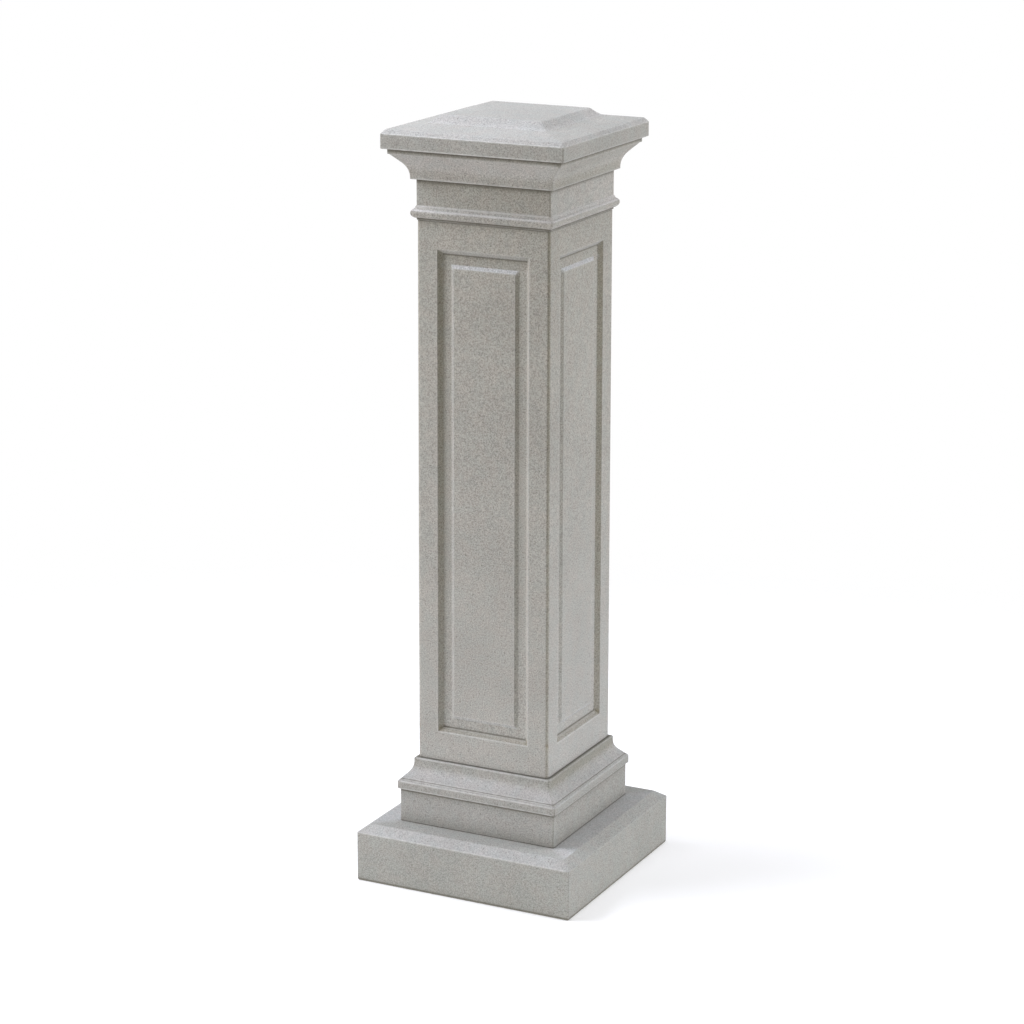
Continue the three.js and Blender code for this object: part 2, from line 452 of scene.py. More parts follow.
@dataclass(frozen=True)
class CastStone:
    """Fine-grained grey cast stone, with pale worn arrises and painted highlights, dirt in the joints and
    painted shade, and light and shade painted through its tone.
    """

    name: str
    body: Colour = (0.396, 0.389, 0.372)
    shade: Colour = (0.368, 0.362, 0.345)
    # Colour of worn arrises, and of the highlights painted along them
    pale: Colour = (0.600, 0.594, 0.580)
    # Colour of dirt in the joints and pits, and of the shade painted in creases and under overhangs
    dirt: Colour = (0.150, 0.142, 0.118)
    # The tone runs from an olive stain with painted shade at its dark end to painted light at its light end
    stain_and_shade: Colour = (0.70, 0.69, 0.60)
    painted_light: Colour = (1.30, 1.30, 1.352)
    tone_range: Range = (0.7, 1.3)
    offset: tuple[float, float, float] = (0.0, 0.0, 0.0)
    blotch: Speckle = Speckle(0.16, 4.0, 0.55)
    grain: Speckle = Speckle(0.0028, 3.0, 0.62)
    grain_depth: float = 0.25
    sand: Speckle = Speckle(0.0014, 1.0, 0.5)
    sand_depth: float = 0.07
    hue: Speckle = Speckle(0.03, 3.0, 0.6)
    warm: Colour = (1.015, 0.998, 0.985)
    cool: Colour = (0.985, 1.004, 1.0)
    pit_size: float = 0.011
    pit_rim: Range = (0.10, 0.17)
    pit_dirt: float = 0.45
    broken: Speckle = Speckle(1 / 85, 2.0, 0.6)
    # How much of the dirt with painted shade, and of the wear with painted highlight, the broken pattern
    # lets show
    dirt_and_shade_cover: Range = (0.72, 0.95)
    worn_and_lit_from: Range = (0.3, 0.75)
    worn_and_lit_cover: Range = (0.85, 0.35)
    roughness: Range = (0.80, 0.96)
    specular: float = 0.3
    grain_height: float = 0.6
    sand_height: float = 0.25
    pit_height: float = -0.8
    relief: float = 0.0011
    relief_shown: float = 0.5

    def colour(self, graph: NodeGraph, place: Socket, grain: Socket, sand: Socket, holes: Socket) -> Socket:
        """The stone's colour, with blotches, grain, drifts of hue, its tone with its painted light and
        shade, and dirty pits.

        Args:
            graph: The material's nodes.
            place: The coordinates.
            grain: The coarser of the two grains.
            sand: The finer one.
            holes: 1 in a pit and 0 outside it.

        Returns:
            The colour.
        """
        speckled = graph.total(
            graph.span(grain, MOST, (1 - self.grain_depth, 1 + self.grain_depth)),
            graph.span(sand, MOST, (-self.sand_depth, self.sand_depth)),
        )
        patches = graph.span(graph.noise(place, self.blotch), MIDDLE, UNIT)
        drifts = graph.span(graph.noise(place, self.hue), MIDDLE, UNIT)
        tone = graph.span(graph.trace(Trace.TONE_AND_LIGHT), self.tone_range, UNIT, even=True)
        stone = graph.multiply(graph.mix(patches, self.shade, self.body), speckled)
        stone = graph.multiply(stone, graph.mix(drifts, self.warm, self.cool))
        # Painted light and shade, with an olive stain at the dark end
        stone = graph.multiply(stone, graph.mix(tone, self.stain_and_shade, self.painted_light))
        return graph.mix(graph.product(holes, self.pit_dirt), stone, self.dirt)

    def weathered(self, graph: NodeGraph, place: Socket, stone: Socket) -> Socket:
        """Lays broken dirt with painted shade, and paler wear with painted highlights, over the stone's
        colour.

        Args:
            graph: The material's nodes.
            place: The coordinates.
            stone: The stone's own colour.

        Returns:
            The colour that shows.
        """
        broken = graph.noise(place, self.broken)
        # Dirt in the joints, and painted shade in creases and under overhangs
        soiled_and_shaded = graph.product(graph.trace(Trace.GRIME_AND_SHADE), graph.span(broken, NEARLY_ALL, self.dirt_and_shade_cover))
        # Wear on the arrises, and painted highlights along them
        worn = graph.product(graph.trace(Trace.WEAR_AND_HIGHLIGHT), graph.span(broken, self.worn_and_lit_from, self.worn_and_lit_cover))
        return graph.mix(worn, graph.mix(soiled_and_shaded, stone, self.dirt), self.pale)

    def material(self) -> bpy.types.Material:
        """Builds the finish's node material.

        Returns:
            The material, which reads Object coordinates and the vertices' traces.
        """
        made = bpy.data.materials.new(self.name)
        made.use_nodes = True
        graph = NodeGraph(made.node_tree)
        place = graph.place(Vector(self.offset))
        grain = graph.noise(place, self.grain)
        sand = graph.noise(place, self.sand)
        holes = graph.span(graph.cells(place, self.pit_size), self.pit_rim, (1.0, 0.0))
        stone = self.colour(graph, place, grain, sand, holes)
        height = graph.total(
            graph.product(grain, self.grain_height),
            graph.product(sand, self.sand_height),
            graph.product(holes, self.pit_height),
        )
        surface = {
            "Base Color": self.weathered(graph, place, stone),
            "Roughness": graph.span(grain, NEARLY_ALL, self.roughness),
            "Specular IOR Level": self.specular,
            "Normal": graph.bump(height, self.relief, self.relief_shown),
        }
        graph.show(graph.add("BsdfPrincipled", surface))
        return made


@dataclass
class Casting:
    """One casting of the pillar, square in plan, between two flat beds."""

    node: str
    bottom: float
    top: float
    arris: float
    stone: CastStone
    weathering: Weathering
    # Tone at the lower and the upper bed; on the shaft it paints the stone lighter low down
    tones: tuple[float, float] = (1.0, 1.0)
    # Tone of the upright arrises: an olive stain with painted shade
    arris_tone: float = 1.0

    def share_up(self, level: float) -> float:
        """How far up the casting a level lies, from 0 at the lower bed to 1 at the upper one."""
        return (level - self.bottom) / (self.top - self.bottom)

    def off_arris(self, place: Vector) -> float:
        """How far a place lies from the diagonals of the square, where the upright arrises are."""
        return abs(abs(place.x) - abs(place.y))

    def by_side(self, values: Sides, place: Vector) -> float:
        """The value for the side that a place is on, blended round the corners."""
        return between(*values, ease(abs(place.x) - abs(place.y), -SIDE_BLEND, SIDE_BLEND))

    def stained_and_shaded_at(self, level: float) -> bool:
        """Whether the upright arrises have their own tone, a stain with painted shade, at a level."""
        return self.bottom < level < self.top

    def tone(self, place: Vector) -> float:
        """How light the stone is painted at a place, from the lower bed's tone to the upper one's, with a
        stain and painted shade on the upright arrises.

        Args:
            place: A point of the casting in millimetres.

        Returns:
            A factor around 1.
        """
        tone = between(*self.tones, self.share_up(place.z))
        # A stain with painted shade on the upright arrises
        if self.off_arris(place) < ARRIS_SHARE * self.arris and self.stained_and_shaded_at(place.z):
            tone *= self.arris_tone
        return tone

    def wear_and_highlight_at(self, place: Vector) -> float:
        """How much of the usual wear and painted highlight a place shows, from 0 to 1, with little on the
        upright arrises.
        """
        return ARRIS_WEAR_AND_HIGHLIGHT if self.off_arris(place) < NEAR_ARRIS * self.arris else 1.0

    def mesh(self) -> Mesh:
        """Models the casting in millimetres."""
        raise NotImplementedError

    def joints(self) -> Iterable[tuple[float, float]]:
        """Half width and level of each joint where dirt gathers, or crease or overhang where shade is
        painted, on this casting.
        """
        return ()

    def quarters(self, bm: Mesh) -> None:
        """Repeats the front side on the other three and closes the seams.

        Args:
            bm: A mesh that holds the front side.
        """
        side = bm.verts[:] + bm.edges[:] + bm.faces[:]
        turns = {"angle": 1.5 * math.pi, "steps": 3, "use_duplicate": True}
        bmesh.ops.spin(bm, geom=side, cent=(0, 0, 0), axis=(0, 0, 1), **turns)
        bmesh.ops.remove_doubles(bm, verts=bm.verts[:], dist=WELD)

    def close(self, bm: Mesh) -> None:
        """Fills the beds and turns all faces outwards."""
        bmesh.ops.holes_fill(bm, edges=[e for e in bm.edges if e.is_boundary], sides=0)
        bmesh.ops.recalc_face_normals(bm, faces=bm.faces[:])

    def ring_points(self) -> list[Vector]:
        """Points along the joints, creases and overhangs, for the dirt and the painted shade there.

        Returns:
            The points on all four sides, in millimetres.
        """
        points = []
        for half, level in self.joints():
            steps = math.ceil(2 * half / JOINT_STEP)
            run = [-half + 2 * half * i / steps for i in range(steps)]
            points += [Vector((along, -half, level)) for along in run]
            points += [Vector((half, along, level)) for along in run]
            points += [Vector((-along, half, level)) for along in run]
            points += [Vector((-half, -along, level)) for along in run]
        return points

    def build(self) -> bpy.types.Object:
        """Models, weathers and dresses the casting, with painted light and shade, and puts it in its CAD
        node's place.

        Returns:
            The finished piece.
        """
        bm = self.mesh()
        self.weathering.trace(bm, self.ring_points(), self.tone, self.wear_and_highlight_at)
        self.weathering.erode(bm, (self.bottom, self.top))
        bmesh.ops.scale(bm, vec=(MM, MM, MM), verts=bm.verts[:])
        for face in bm.faces:
            face.smooth = True
        data = bpy.data.meshes.new(self.node + "_stone")
        bm.to_mesh(data)
        bm.free()
        data.set_sharp_from_angle(angle=SHARP_TURN)
        piece = bpy.data.objects.new(self.node + "_stone", data)
        bpy.context.scene.collection.objects.link(piece)
        normals = piece.modifiers.new("even_normals", "WEIGHTED_NORMAL")
        normals.keep_sharp = True
        data.materials.append(self.stone.material())
        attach(piece, BODY)
        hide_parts(self.node)
        return piece


@dataclass
class Moulding(Casting):
    """A casting whose outline is the same on all four sides."""

    def corners(self) -> list[Corner]:
        """The outline from the lower bed to the upper one."""
        raise NotImplementedError

    def round_corner(self) -> list[Matrix]:
        """Moves that carry the outline round a corner, from the left side to the front.

        Returns:
            One shift for each facet of the rounded arris.
        """
        angles = [math.pi / 2 * i / CORNER_STEPS for i in range(CORNER_STEPS + 1)]
        spokes = [Vector((-math.cos(a), -math.sin(a), 0)) * self.arris for a in angles]
        return [Matrix.Translation(end - start) for start, end in zip(spokes, spokes[1:])]

    def along_side(self) -> list[Matrix]:
        """Moves that carry the outline along the front, each point by its own share of the way.

        Returns:
            One shear with a shift for each column of faces.
        """
        widest = max(corner.half for corner in self.corners())
        first = CORNER_CLEAR / widest
        steps = math.ceil((2 - 2 * first) * widest / (PITCH + 1))
        moves = []
        for share in [first] + [(2 - 2 * first) / steps] * steps + [first]:
            move = Matrix.Identity(4)
            move[0][1] = -share
            move[0][3] = -share * self.arris
            moves.append(move)
        return moves

    def mesh(self) -> Mesh:
        """Draws the outline at one corner and carries it round the square.

        Returns:
            The closed casting in millimetres.
        """
        bm = bmesh.new()
        verts = [bm.verts.new((-p.x, self.arris - p.x, p.y)) for p in outline(self.corners())]
        edges = [bm.edges.new(pair) for pair in zip(verts, verts[1:])]
        for move in self.round_corner() + self.along_side():
            made = bmesh.ops.extrude_edge_only(bm, edges=edges)["geom"]
            verts = [g for g in made if isinstance(g, bmesh.types.BMVert)]
            fresh = set(verts)
            edges = [g for g in made if isinstance(g, bmesh.types.BMEdge) and fresh.issuperset(g.verts)]
            bmesh.ops.transform(bm, matrix=move, verts=verts)
        self.quarters(bm)
        self.close(bm)
        return bm


@dataclass
class Plinth(Moulding):
    """Square block with a splayed top edge."""

    half: float = 246.0
    side_top: float = 107.0
    top_half: float = 224.5
    foot_rounding: float = 4.0
    rounding: float = 2.4
    underside: float = 12.0
    bed_half: float = 165.0
    dado_half: float = DADO_HALF
    dado_cover: float = 1.0
    # Light and shade painted by side on the flat top and the splay
    top_tones: Sides = (1.03, 1.25)
    splay_tones: Sides = (1.07, 0.93)
    # Painted contact shade at the foot
    foot_tone: float = 0.6
    # Wear and painted highlight, less on the left and right, and little round the foot and the flat top
    side_wear_and_highlight: Sides = (0.8, 0.15)
    plain_wear_and_highlight: float = 0.15

    def tone(self, place: Vector) -> float:
        """Painted contact shade at the foot, and light and shade painted on the top and the splay that
        differ from side to side.

        Args:
            place: A point of the block in millimetres.

        Returns:
            A factor around 1.
        """
        tone = super().tone(place)
        # Painted contact shade at the foot
        if place.z < self.bottom + self.foot_rounding:
            tone *= self.foot_tone
        # Light and shade painted by side on the top and the splay
        if place.z > self.top - WELD:
            tone *= self.by_side(self.top_tones, place)
        elif place.z > self.side_top:
            tone *= self.by_side(self.splay_tones, place)
        return tone

    def wear_and_highlight_at(self, place: Vector) -> float:
        """Little wear and painted highlight at the foot, round the flat top and on the left and right
        sides.
        """
        plain = place.z < self.bottom + 2 * self.foot_rounding or place.z > self.top - self.rounding
        return super().wear_and_highlight_at(place) * (self.plain_wear_and_highlight if plain else self.by_side(self.side_wear_and_highlight, place))

    def corners(self) -> list[Corner]:
        """Upright sides, splay and flat top.

        Returns:
            The outline's corners, with one where the dado stands.
        """
        return [
            Corner(self.half - self.underside, self.bottom),
            Corner(self.half, self.bottom, self.foot_rounding),
            Corner(self.half, self.side_top, self.rounding),
            Corner(self.top_half, self.top, self.rounding),
            Corner(self.dado_half, self.top),
            Corner(self.bed_half, self.top),
        ]

    def joints(self) -> Iterable[tuple[float, float]]:
        """The dado stands on the top, and the block on the ground, with painted contact shade at its foot.

        Returns:
            Half width and level of each ring of dirt or painted shade.
        """
        foot = self.foot_rounding * (1 - math.sqrt(0.5))
        return (
            (self.dado_half - self.dado_cover, self.top),
            (self.half - foot, self.bottom + foot),
            (self.half, self.bottom + self.foot_rounding),
        )


@dataclass
class BaseMoulding(Moulding):
    """Dado, rounded band, hollow and shoulder."""

    dado_half: float = DADO_HALF
    dado_rounding: float = 1.6
    band_half: float = 183.2
    band_bottom: float = 194.2
    band_top: float = 215.5
    band_chamfer: float = 4.6
    under_band: tuple[float, float] = (3.4, 6.0)
    hollow_radius: float = 32.0
    hollow_foot_half: float = 177.0
    hollow_head: float = 250.0
    shoulder_half: float = 157.5
    shoulder_rounding: float = 2.6
    rounding: float = 1.2
    bed_half: float = 140.0
    shaft_half: float = SHAFT_HALF
    ledge_soil: float = 1.3
    # Light and shade painted by side on the dado, the hollow and the shoulder, and painted shade on the
    # band's chamfer
    dado_tones: Sides = (1.06, 0.965)
    chamfer_tone: float = 0.9
    hollow_tones: Sides = (1.06, 1.03)
    shoulder_tones: Sides = (0.98, 0.79)
    # Wear and painted highlight by side, and less on the shoulder
    side_wear_and_highlight: Sides = (1.0, 0.45)
    shoulder_wear_and_highlight: float = 0.5

    def tone(self, place: Vector) -> float:
        """Painted shade on the band's chamfer, and elsewhere light and shade painted so that they differ
        from side to side.

        Args:
            place: A point of the moulding in millimetres.

        Returns:
            A factor around 1.
        """
        tone = super().tone(place)
        # Light and shade painted by side on the hollow and the shoulder
        if place.z > self.band_top + WELD:
            low = self.by_side(self.hollow_tones, place)
            high = self.by_side(self.shoulder_tones, place)
            tone *= between(low, high, ease(place.z, self.band_top, self.hollow_head))
        # Painted shade on the band's chamfer
        elif place.z > self.band_top - self.band_chamfer / 2:
            tone *= self.chamfer_tone
        # Light and shade painted by side on the dado
        elif place.z < self.band_bottom:
            tone *= self.by_side(self.dado_tones, place)
        return tone

    def wear_and_highlight_at(self, place: Vector) -> float:
        """Less wear and painted highlight on the left and right, and on the shoulder close under the shaft.
        """
        share = self.shoulder_wear_and_highlight if place.z > self.top - 2 * self.shoulder_rounding else 1.0
        return super().wear_and_highlight_at(place) * share * self.by_side(self.side_wear_and_highlight, place)

    def corners(self) -> list[Corner]:
        """The hollow is a rounded turn between the upright shoulder and a slope of 45 degrees.

        Returns:
            The outline's corners, with some under the band, where shade is painted, and one where the shaft
            stands.
        """
        turn_level = self.hollow_head - self.hollow_radius * math.tan(math.pi / 8)
        slope_foot = turn_level - (self.hollow_foot_half - self.shoulder_half)
        return [
            Corner(self.bed_half, self.bottom),
            Corner(self.dado_half, self.bottom, self.dado_rounding),
            Corner(self.dado_half, self.band_bottom - self.under_band[1]),
            Corner(self.dado_half, self.band_bottom - self.under_band[0]),
            Corner(self.dado_half, self.band_bottom, self.rounding / 2),
            Corner(self.band_half, self.band_bottom, self.rounding),
            Corner(self.band_half, self.band_top - self.band_chamfer, self.rounding),
            Corner(self.band_half - self.band_chamfer, self.band_top, self.rounding / 2),
            Corner(self.hollow_foot_half, self.band_top, self.rounding / 4),
            Corner(self.hollow_foot_half, slope_foot, self.rounding / 2),
            Corner(self.shoulder_half, turn_level, self.hollow_radius),
            Corner(self.shoulder_half, self.top, self.shoulder_rounding),
            Corner(self.shaft_half, self.top),
            Corner(self.bed_half, self.top),
        ]

    def joints(self) -> Iterable[tuple[float, float]]:
        """It stands on the plinth and carries the shaft, with dirt at these joints, and shade is painted
        under and over its band.

        Returns:
            Half width and level of each ring of dirt or painted shade.
        """
        return (
            (self.dado_half, self.bottom),
            (self.dado_half, self.band_bottom - SHADOW_UNDER_EDGE / 2),
            (self.dado_half, self.band_bottom - self.under_band[0]),
            (self.hollow_foot_half - self.rounding, self.band_top),
            (self.shaft_half, self.top),
            (self.shaft_half + self.ledge_soil, self.top),
        )


@dataclass
class Capital(Moulding):
    """Bead, plain neck, rounded lip, hollow and flat band."""

    neck_half: float = 148.8
    bead_half: float = 158.5
    bead_radius: float = 10.5
    bead_level: float = 1410.3
    bead_head: float = math.radians(36.0)
    bead_steps: int = 12
    # A dark line this far under the bead's foot, partly dirt and partly painted shadow
    bead_soil_and_shade: float = 0.5
    slope_turn: Corner = Corner(152.4, 1419.2, 4.0)
    slope_head: Corner = Corner(149.9, 1424.4, 0.5)
    slope_ledge: float = 0.5
    lip_half: float = 158.5
    lip_bottom: float = 1478.3
    lip_height: float = 4.5
    rounding: float = 1.2
    hollow_radius: float = 42.0
    hollow_head_half: float = 189.0
    band_half: float = CORNICE_HALF
    bed_half: float = 140.0
    # Painted highlight on the bead's crown, and light and shade painted by side on the neck and the cornice
    crown_highlight: float = 1.22
    crown_highlight_reach: float = 1.6
    neck_tones: Sides = (0.955, 1.07)
    cornice_tones: Sides = (1.10, 0.92)
    # Wear and painted highlight, less on the left and right
    side_wear_and_highlight: Sides = (1.0, 0.5)

    def stained_and_shaded_at(self, level: float) -> bool:
        """The arrises have a stain and painted shade along the neck, between the bead and the cornice."""
        return self.slope_head.level < level < self.lip_bottom

    def tone(self, place: Vector) -> float:
        """A painted highlight on the bead's crown, and elsewhere light and shade painted so that they
        differ from side to side.

        Args:
            place: A point of the capital in millimetres.

        Returns:
            A factor around 1.
        """
        tone = super().tone(place)
        crown = self.bead_level + self.bead_radius * math.sin(self.bead_head)
        # Painted highlight on the bead's crown
        if abs(place.z - crown) < self.crown_highlight_reach:
            tone *= self.crown_highlight
        # Light and shade painted by side on the neck and, above the lip's foot, on the cornice
        elif crown < place.z < self.lip_bottom:
            tone *= self.by_side(self.neck_tones, place)
        elif place.z >= self.lip_bottom:
            tone *= self.by_side(self.cornice_tones, place)
        return tone

    def wear_and_highlight_at(self, place: Vector) -> float:
        """Less wear and painted highlight on the left and right sides."""
        return super().wear_and_highlight_at(place) * self.by_side(self.side_wear_and_highlight, place)

    def bead(self) -> list[Corner]:
        """The bead's round from the neck below it, and the hollow slope back to the neck above.

        Returns:
            The outline's corners along it.
        """
        centre = self.bead_half - self.bead_radius
        foot = -math.acos((self.neck_half - centre) / self.bead_radius)
        angles = [between(foot, self.bead_head, i / self.bead_steps) for i in range(self.bead_steps + 1)]
        reach = self.bead_radius
        arc = [Corner(centre + reach * math.cos(a), self.bead_level + reach * math.sin(a)) for a in angles]
        return [
            *arc,
            self.slope_turn,
            self.slope_head,
            Corner(self.neck_half, self.slope_head.level + self.slope_ledge),
        ]

    def corners(self) -> list[Corner]:
        """The hollow is a rounded turn between the upright lip and a slope of 45 degrees.

        Returns:
            The outline's corners.
        """
        turn_level = self.lip_bottom + self.lip_height + self.hollow_radius * math.tan(math.pi / 8)
        band_bottom = turn_level + self.hollow_head_half - self.lip_half
        return [
            Corner(self.bed_half, self.bottom),
            Corner(self.neck_half, self.bottom, self.rounding / 2),
            *self.bead(),
            Corner(self.neck_half, self.lip_bottom, self.rounding / 2),
            Corner(self.lip_half, self.lip_bottom, self.rounding),
            Corner(self.lip_half, turn_level, self.hollow_radius),
            Corner(self.hollow_head_half, band_bottom, self.rounding / 2),
            Corner(self.band_half, band_bottom, self.rounding / 2),
            Corner(self.band_half, self.top),
            Corner(self.bed_half, self.top),
        ]

    def joints(self) -> Iterable[tuple[float, float]]:
        """Shade is painted under the bead, under the lip and under the cap, and some dirt lies under the
        bead.

        Returns:
            Half width and level of each ring of painted shade.
        """
        return (
            (self.neck_half, self.bead_level - self.bead_radius - self.bead_soil_and_shade),
            (self.neck_half, self.lip_bottom - SHADOW_UNDER_EDGE),
            (self.band_half, self.top - SHADOW_UNDER_EDGE),
        )


@dataclass
class Cap(Moulding):
    """Slab with a chamfered head and a swept slope up to a flat field."""

    slab_half: float = 201.3
    rounding: float = 1.6
    side_top: float = 1571.5
    slope_half: float = 194.1
    slope_foot: float = 1579.9
    sweep_half: float = 128.55
    sweep_level: float = 1588.9
    sweep_radius: float = 30.0
    field_half: float = 111.0
    field_rounding: float = 2.5
    field_middle: float = 60.0
    bed_half: float = 150.0
    band_half: float = CORNICE_HALF
    # Light and shade painted by side on the slopes
    slope_tones: Sides = (1.02, 0.98)
    # Wear and painted highlight, less on the left and right and on the slopes
    side_wear_and_highlight: Sides = (1.0, 0.4)
    slope_wear_and_highlight: float = 0.1

    def tone(self, place: Vector) -> float:
        """The slopes are painted lighter or darker from side to side."""
        sloped = self.side_top < place.z < self.top - WELD
        return super().tone(place) * (self.by_side(self.slope_tones, place) if sloped else 1.0)

    def wear_and_highlight_at(self, place: Vector) -> float:
        """Worn and painted with highlights round the slab, less so on its left and right, and hardly at all
        on the slopes.

        Args:
            place: A point of the cap in millimetres.

        Returns:
            A share from 0 to 1.
        """
        if place.z > self.side_top + self.rounding:
            return self.slope_wear_and_highlight
        return super().wear_and_highlight_at(place) * self.by_side(self.side_wear_and_highlight, place)

    def corners(self) -> list[Corner]:
        """Slab, chamfer, shallow slope, sweep, steep slope and flat field.

        Returns:
            The outline's corners.
        """
        return [
            Corner(self.bed_half, self.bottom),
            Corner(self.slab_half, self.bottom, self.rounding),
            Corner(self.slab_half, self.side_top, self.rounding),
            Corner(self.slope_half, self.slope_foot, self.rounding),
            Corner(self.sweep_half, self.sweep_level, self.sweep_radius),
            Corner(self.field_half, self.top, self.field_rounding),
            Corner(self.field_middle, self.top),
        ]

    def joints(self) -> Iterable[tuple[float, float]]:
        """It lies on the capital's band."""
        return ((self.band_half, self.bottom),)


@dataclass
class Shaft(Casting):
    """Tall die with a sunk panel on each side and a raised field inside it."""

    half: float = SHAFT_HALF
    top_half: float = 147.8
    bed_rounding: float = 1.4
    bed_steps: int = 2
    side_margin: float = 46.2
    foot_margin: float = 63.6
    head_margin: float = 56.5
    panel_depth: float = 10.5
    panel_splay: float = 9.3
    floor_side: float = 17.5
    floor_end: float = 20.5
    field_rise: float = 5.0
    field_bevel: float = 7.2
    arris_rounding: float = 1.0
    crease_rounding: float = 0.6
    face_run: float = 4.0
    pitch: float = 9.0
    beside_bed: tuple[float, float] = (2.6, 4.8)
    # Light painted by side low down, a darker panel foot, a painted highlight on the field's head slope and
    # painted shade in the reveals
    low_tones: Sides = (0.99, 1.03)
    foot_tone: float = 0.76
    head_highlight: float = 1.2
    reveal_tones: Sides = (0.92, 0.87)
    # Wear and painted highlight below and above the panel's foot
    low_wear_and_highlight: float = 0.8
    high_wear_and_highlight: float = 0.4

    def tone(self, place: Vector) -> float:
        """Light painted by side low down, painted shade in the panel's reveals, darker on the panel's foot,
        and a painted highlight on the field's head slope.

        Args:
            place: A point of the die in millimetres.

        Returns:
            A factor around 1.
        """
        share = self.share_up(place.z)
        # Light painted by side in the lower half
        low = between(1.0, self.by_side(self.low_tones, place), max(0.0, 1 - 2 * share))
        tone = super().tone(place) * low
        sunk = between(self.half, self.top_half, share) - max(abs(place.x), abs(place.y))
        off_floor = sunk < self.panel_depth - SUNK
        over_foot = place.z - self.bottom - self.foot_margin
        under_head = self.top - self.head_margin - self.panel_splay - self.floor_end - place.z
        opening = self.half - self.side_margin
        # Darker on the panel's foot
        if sunk > SUNK and off_floor and 0 < over_foot < self.panel_splay:
            tone *= self.foot_tone
        # Painted highlight on the field's head slope
        if sunk > self.panel_depth - self.field_rise and off_floor and 0 < under_head < self.field_bevel:
            tone *= self.head_highlight
        # Painted shade in the panel's reveals
        if sunk > SUNK and opening - self.panel_splay < min(abs(place.x), abs(place.y)) < opening:
            tone *= self.by_side(self.reveal_tones, place)
        return tone

    def wear_and_highlight_at(self, place: Vector) -> float:
        """Most of the usual wear and painted highlight up to the panel's foot, and less above."""
        over_foot = place.z - self.bottom - self.foot_margin
        return super().wear_and_highlight_at(place) * (self.low_wear_and_highlight if over_foot < self.panel_splay else self.high_wear_and_highlight)

    def section(self) -> list[Corner]:
        """The panel's turns, by their way in from the opening's edge and their height on the face.

        Returns:
            The turns from the face to the field.
        """
        floor = -self.panel_depth
        field_foot = self.panel_splay + self.floor_side
        field_edge = field_foot + self.field_bevel
        return [
            Corner(-self.face_run, 0.0),
            Corner(0.0, 0.0, self.arris_rounding),
            Corner(self.panel_splay, floor, self.crease_rounding),
            Corner(field_foot, floor, self.crease_rounding),
            Corner(field_edge, floor + self.field_rise, self.arris_rounding),
            Corner(field_edge + self.face_run, floor + self.field_rise),
        ]

    def panel(self, bm: Mesh) -> None:
        """Sinks the panel into the front side and raises its field.

        Args:
            bm: An empty mesh, which gets the front side at full width.
        """
        opening = self.half - self.side_margin + self.face_run
        foot = self.bottom + self.foot_margin - self.face_run
        head = self.top - self.head_margin + self.face_run
        across = (-self.half, -opening, opening, self.half)
        up = (self.bottom, foot, head, self.top)
        parts = len(across) - 1
        bmesh.ops.create_grid(bm, x_segments=parts, y_segments=parts, size=1.0)
        for v in bm.verts:
            column = round((v.co.x + 1) / 2 * parts)
            row = round((v.co.y + 1) / 2 * parts)
            v.co = Vector((across[column], -self.half, up[row]))
        bm.normal_update()
        centre = Vector((0, -self.half, (foot + head) / 2))
        field = min(bm.faces, key=lambda f: (f.calc_center_median() - centre).length)
        points = outline(self.section())
        for start, end in zip(points, points[1:]):
            step = end - start
            sizes = {"thickness": step.x, "depth": step.y, "use_even_offset": True}
            bmesh.ops.inset_individual(bm, faces=[field], **sizes)
            on_floor = max(start.y, end.y) < WELD - self.panel_depth
            further = (self.floor_end - self.floor_side) * step.x / self.floor_side if on_floor else 0.0
            for v in field.verts:
                v.co.z -= math.copysign(further, v.co.z - centre.z)

    def divide(self, bm: Mesh) -> None:
        """Cuts the front side into a fine grid, clear of its corners and finer along the beds.

        Args:
            bm: The mesh of the front side.
        """
        inner = self.half - CORNER_CLEAR
        low, high = self.bottom + CORNER_CLEAR, self.top - CORNER_CLEAR
        beside_beds = [self.bottom + off for off in self.beside_bed]
        beside_beds += [self.top - off for off in self.beside_bed]
        for normal, first, last, more in (
            (Vector((1, 0, 0)), -inner, inner, []),
            (Vector((0, 0, 1)), low, high, beside_beds),
        ):
            steps = math.ceil((last - first) / self.pitch)
            for cut in [first + (last - first) * i / steps for i in range(steps + 1)] + more:
                side = bm.verts[:] + bm.edges[:] + bm.faces[:]
                bmesh.ops.bisect_plane(bm, geom=side, dist=SNAP, plane_co=normal * cut, plane_no=normal)

    def soften(self, bm: Mesh, edges: list[bmesh.types.BMEdge], radius: float, steps: int) -> None:
        """Rounds edges of the die.

        Args:
            bm: The closed die.
            edges: The edges.
            radius: How far the rounding reaches.
            steps: How many facets it has.
        """
        bmesh.ops.bevel(
            bm,
            geom=edges,
            offset=radius,
            offset_type="OFFSET",
            segments=steps,
            profile=0.5,
            affect="EDGES",
            material=-1,
        )

    def round_beds(self, bm: Mesh) -> None:
        """Rounds the edges round the upper and lower bed.

        Args:
            bm: The closed die.
        """
        bm.normal_update()
        edges = []
        for e in bm.edges:
            on_bed = all(min(abs(v.co.z - self.bottom), abs(v.co.z - self.top)) < WELD for v in e.verts)
            if on_bed and e.calc_face_angle_signed(0.0) > ARRIS_TURN:
                edges.append(e)
        self.soften(bm, edges, self.bed_rounding, self.bed_steps)

    def round_corners(self, bm: Mesh) -> None:
        """Rounds the four arrises that run up the die."""
        edges = [e for e in bm.edges if all(self.off_arris(v.co) < WELD for v in e.verts)]
        self.soften(bm, edges, self.arris, CORNER_STEPS)

    def taper(self, bm: Mesh) -> None:
        """Draws the die in towards its top, as the mould's draft does.

        Args:
            bm: The closed die at full width.
        """
        for v in bm.verts:
            scale = between(1.0, self.top_half / self.half, self.share_up(v.co.z))
            v.co.x *= scale
            v.co.y *= scale

